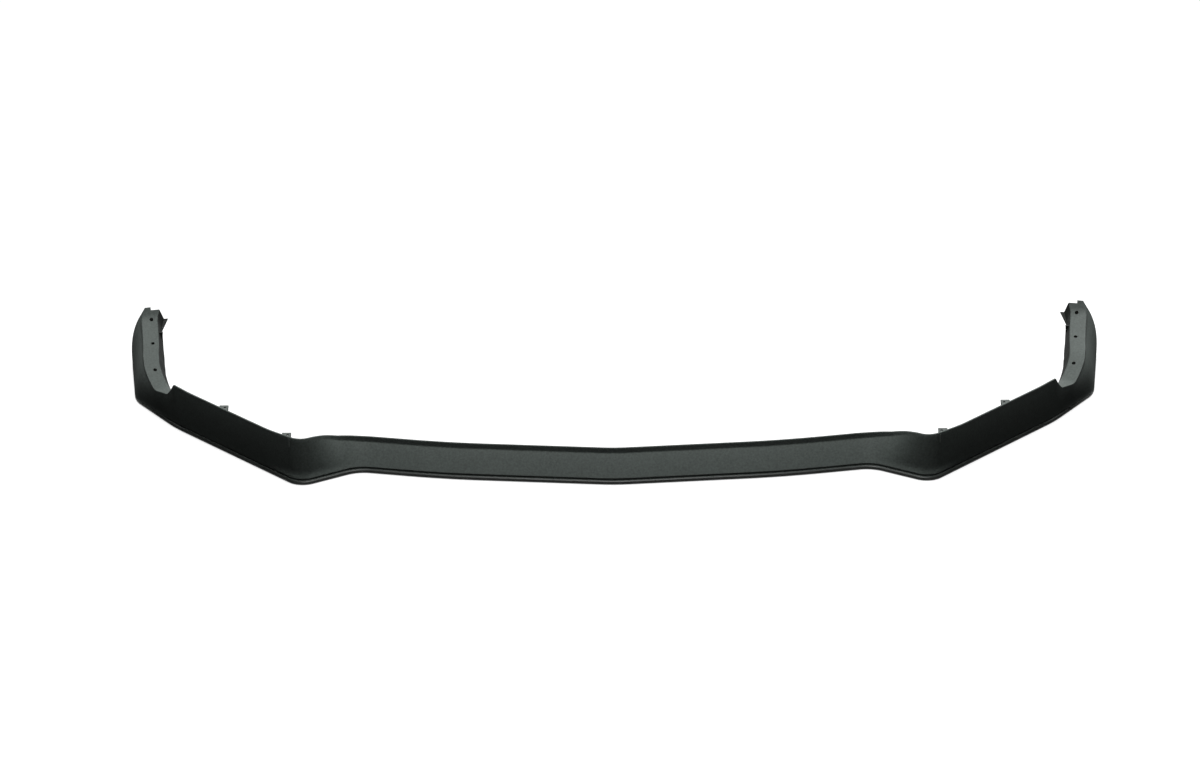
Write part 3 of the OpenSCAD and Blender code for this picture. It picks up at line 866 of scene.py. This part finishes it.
def splitter_moulding():
    """The strip with all that is moulded in one with it, placed as the solid is."""
    strip = moulded_strip()
    hidden = [gusset(), catch()] + [screw_collar(s) for s in HOLE_PLACES]
    tabs = [tab(S_LOBE + TAB_INNER), tab(S_NOTCH - TAB_OUTER)]
    # The hidden gusset, catch and collars take the smooth finish, its deeper black partly painted shade;
    # the tabs keep the grain.
    pieces = [finished(piece, SMOOTH) for piece in hidden] + [finished(piece, GRAINED) for piece in tabs]
    fastenings = joined("fastenings", pieces)
    both_halves(fastenings, False)
    apply_modifier(strip, "BOOLEAN", operation="UNION", solver="EXACT", object=fastenings)
    cutter = cutters()
    apply_modifier(strip, "BOOLEAN", operation="DIFFERENCE", solver="EXACT", object=cutter)
    bpy.data.objects.remove(fastenings)
    bpy.data.objects.remove(cutter)
    middle = (min(v.co.y for v in strip.data.vertices) + max(v.co.y for v in strip.data.vertices)) / 2
    strip.data.transform(Matrix.Translation((0, -middle, 0)))
    only(strip)
    bpy.ops.object.shade_smooth_by_angle(angle=math.radians(34))
    return strip


moulding = splitter_moulding()
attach(moulding, "root")
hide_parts("splitter_lip")


# The studio: a pale floor, soft lights overhead and a little in front, a low one behind, one at each end

def pale_floor():
    """White to the camera by its own glow, and for the part a bounce that dies away with distance."""
    bpy.ops.mesh.primitive_plane_add(size=40, location=(0, 0, -0.0004))
    floor = bpy.context.object
    floor.name = "floor"
    material = bpy.data.materials.new("pale_floor")
    material.use_nodes = True
    tree = material.node_tree
    seen = tree.nodes["Principled BSDF"]
    seen.inputs["Base Color"].default_value = (0.22, 0.22, 0.22, 1)
    seen.inputs["Emission Color"].default_value = (1, 1, 1, 1)
    seen.inputs["Emission Strength"].default_value = 0.8
    seen.inputs["Roughness"].default_value = 1.0
    seen.inputs["Specular IOR Level"].default_value = 0.0
    dull = tree.nodes.new("ShaderNodeBsdfDiffuse")
    rays = tree.nodes.new("ShaderNodeLightPath")
    near = tree.nodes.new("ShaderNodeMapRange")
    near.interpolation_type = "SMOOTHSTEP"
    near.inputs["From Min"].default_value = 0.004
    near.inputs["From Max"].default_value = 0.025
    near.inputs["To Min"].default_value = 0.8
    near.inputs["To Max"].default_value = 0.05
    tree.links.new(rays.outputs["Ray Length"], near.inputs["Value"])
    tree.links.new(near.outputs["Result"], dull.inputs["Color"])
    either = tree.nodes.new("ShaderNodeMixShader")
    tree.links.new(rays.outputs["Is Camera Ray"], either.inputs[0])
    tree.links.new(dull.outputs[0], either.inputs[1])
    tree.links.new(seen.outputs[0], either.inputs[2])
    tree.links.new(either.outputs[0], tree.nodes["Material Output"].inputs["Surface"])
    floor.data.materials.append(material)


def soft_light(name, place_at, aim_at, width, depth, power):
    data = bpy.data.lights.new(name, "AREA")
    data.shape = "RECTANGLE"
    data.size = width
    data.size_y = depth
    data.energy = power
    light = bpy.data.objects.new(name, data)
    light.location = place_at
    light.rotation_euler = (Vector(aim_at) - Vector(place_at)).to_track_quat("-Z", "Y").to_euler()
    light.visible_camera = False
    scene.collection.objects.link(light)


def white_surroundings():
    """White to the camera and nearly black for the part."""
    world = bpy.data.worlds.new("surroundings")
    scene.world = world
    world.use_nodes = True
    tree = world.node_tree
    dim = tree.nodes["Background"]
    dim.inputs["Color"].default_value = (1, 1, 1, 1)
    dim.inputs["Strength"].default_value = 0.008
    white = tree.nodes.new("ShaderNodeBackground")
    white.inputs["Strength"].default_value = 1.0
    white.inputs["Color"].default_value = (1, 1, 1, 1)
    rays = tree.nodes.new("ShaderNodeLightPath")
    either = tree.nodes.new("ShaderNodeMixShader")
    tree.links.new(rays.outputs["Is Camera Ray"], either.inputs[0])
    tree.links.new(dim.outputs[0], either.inputs[1])
    tree.links.new(white.outputs[0], either.inputs[2])
    tree.links.new(either.outputs[0], tree.nodes["World Output"].inputs["Surface"])


pale_floor()
soft_light("overhead", (0, 0, 4.0), (0, 0, 0), 1.2, 1.2, 165)
soft_light("in_front", (0, -1.04, 3.86), (0, 0, 0), 1.2, 1.2, 108)
soft_light("behind", (0, 4.5, 0.8), (0, 0, 0.05), 6.0, 0.8, 100)
soft_light("left_end", (-1.55, 0.95, 1.1), (-0.9, 0.2, 0.1), 0.4, 0.4, 14)
soft_light("right_end", (1.55, 0.95, 1.1), (0.9, 0.2, 0.1), 0.4, 0.4, 26)
white_surroundings()
scene.view_settings.view_transform = "Standard"
scene.view_settings.look = "None"
